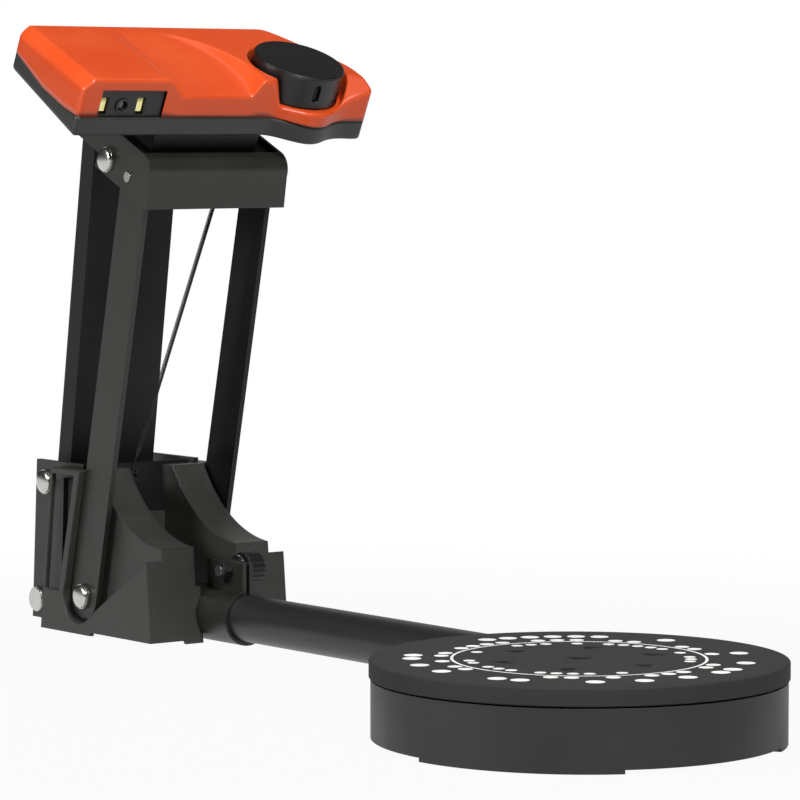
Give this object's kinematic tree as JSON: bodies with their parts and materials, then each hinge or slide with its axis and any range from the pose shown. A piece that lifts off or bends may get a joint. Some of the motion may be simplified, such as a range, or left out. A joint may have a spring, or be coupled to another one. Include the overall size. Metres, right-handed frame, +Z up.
{
  "type": "desktop 3d scanner",
  "caption": "Desktop 3D scanner: a scanning head with a camera and a laser on a folding arm tower, a sliding boom tube and a motor turntable.",
  "frame": {"origin": "on the turntable's axis, at the surface that the scanner stands on", "axes": "+X from the arm tower to the turntable along the boom, +Y to the side that holds the laser puck, +Z up"},
  "size_m": [0.6036, 0.2515, 0.3297],
  "materials": {
    "moulded_black": "satin moulded ABS, black",
    "platter_black": "satin moulded ABS, black",
    "white_print": "white screen print",
    "nylon": "natural nylon",
    "steel": "bright zinc-plated steel",
    "black_steel": "satin black powder coat",
    "painted_frame": "satin dark grey powder coat",
    "cast_bracket": "moulded glass-filled nylon, dark grey",
    "circuit_board": "green solder mask on glass-fibre board",
    "orange_shell": "gloss orange moulded ABS",
    "grey_shell": "fine-textured dark grey moulded ABS",
    "lens_glass": "coated glass",
    "red_window": "dark red acrylic",
    "light_diffuser": "white diffuser",
    "brass_barrel": "turned brass"
  },
  "bodies": {
    "base": {"base_housing": "painted_frame", "base_floor": "painted_frame", "rear_bracket": "painted_frame", "power_inlet": "moulded_black", "rear_tie_bar": "steel", "link_rivets": "steel", "link_bushes": "nylon", "bracket_fixings": "steel", "arm_rivets": "steel", "arm_washers": "nylon", "spring_post": "steel", "tube_clamp": "painted_frame", "clamp_rivets": "steel", "clamp_bolt": "steel", "clamp_nut": "black_steel", "clamp_washer": "steel"},
    "knob": {"clamp_knob": "moulded_black"},
    "boom": {"drum_housing": "moulded_black", "bottom_cover": "moulded_black", "cover_screws": "steel", "tube_socket": "cast_bracket", "socket_screws": "steel", "bearing_housing": "cast_bracket", "spindle_bearings": "steel", "drive_motor": "steel", "turntable_board": "circuit_board", "boom_tube": "black_steel", "tube_end_plug": "moulded_black"},
    "turntable": {"platter": "platter_black", "platter_circle": "white_print", "platter_dots": "white_print", "platter_gear": "nylon", "platter_spindle": "steel"},
    "pinion": {"drive_pinion": "steel"},
    "arms": {"near_arm": "painted_frame", "far_arm": "painted_frame", "upper_shaft": "steel", "ear_washers": "nylon", "arm_spring": "steel"},
    "link": {"rear_link": "painted_frame"},
    "head": {"head_bracket": "painted_frame", "bracket_rivets": "steel", "bracket_tie_bar": "steel", "link_pin": "steel", "head_neck": "moulded_black", "neck_screws": "steel", "lower_shell": "grey_shell", "upper_shell": "orange_shell", "camera_panel": "grey_shell", "camera_barrel": "moulded_black", "camera_lens": "lens_glass", "camera_board": "circuit_board", "work_lights": "light_diffuser", "head_board": "circuit_board", "laser_seat": "moulded_black"},
    "puck": {"puck_body": "moulded_black", "puck_cap": "moulded_black", "laser_module": "brass_barrel", "laser_window": "red_window"}
  },
  "joints": [
    {"name": "arm_fold", "type": "hinge", "parent": "base", "child": "arms", "pos_m": [-0.4505, 0.0685, 0.0204], "axis": [0, 1, 0], "range_deg": [0, 45], "deforming": ["arm_spring"]},
    {"name": "rear_link_pivot", "type": "hinge", "parent": "base", "child": "link", "pos_m": [-0.492, 0.0685, 0.08], "axis": [0, 1, 0], "range_deg": [-1, 53]},
    {"name": "head_pivot", "type": "hinge", "parent": "arms", "child": "head", "pos_m": [-0.39892, 0.0685, 0.24926], "axis": [0, 1, 0], "range_deg": [-43, 1]},
    {"name": "boom_slide", "type": "slide", "parent": "base", "child": "boom", "axis": [1, 0, 0], "range_m": [-0.08, 0]},
    {"name": "platter_spin", "type": "hinge", "parent": "boom", "child": "turntable", "pos_m": [0, 0, 0.03], "axis": [0, 0, 1], "continuous": true},
    {"name": "pinion_spin", "type": "hinge", "parent": "boom", "child": "pinion", "pos_m": [-0.0375, 0, 0.03], "axis": [0, 0, 1], "continuous": true},
    {"name": "puck_swivel", "type": "hinge", "parent": "head", "child": "puck", "pos_m": [-0.37937, 0.12, 0.30634], "axis": [0.4226, 0, 0.9063], "range_deg": [-12, 12]},
    {"name": "knob_turn", "type": "hinge", "parent": "base", "child": "knob", "pos_m": [-0.369, 0.0785, 0.0395], "axis": [0, 1, 0], "range_deg": [-180, 180]}
  ],
  "couplings": [
    {"joint": "rear_link_pivot", "follows": "arm_fold", "ratio": 1.17},
    {"joint": "head_pivot", "follows": "arm_fold", "ratio": -0.946},
    {"joint": "pinion_spin", "follows": "platter_spin", "ratio": -4}
  ]
}
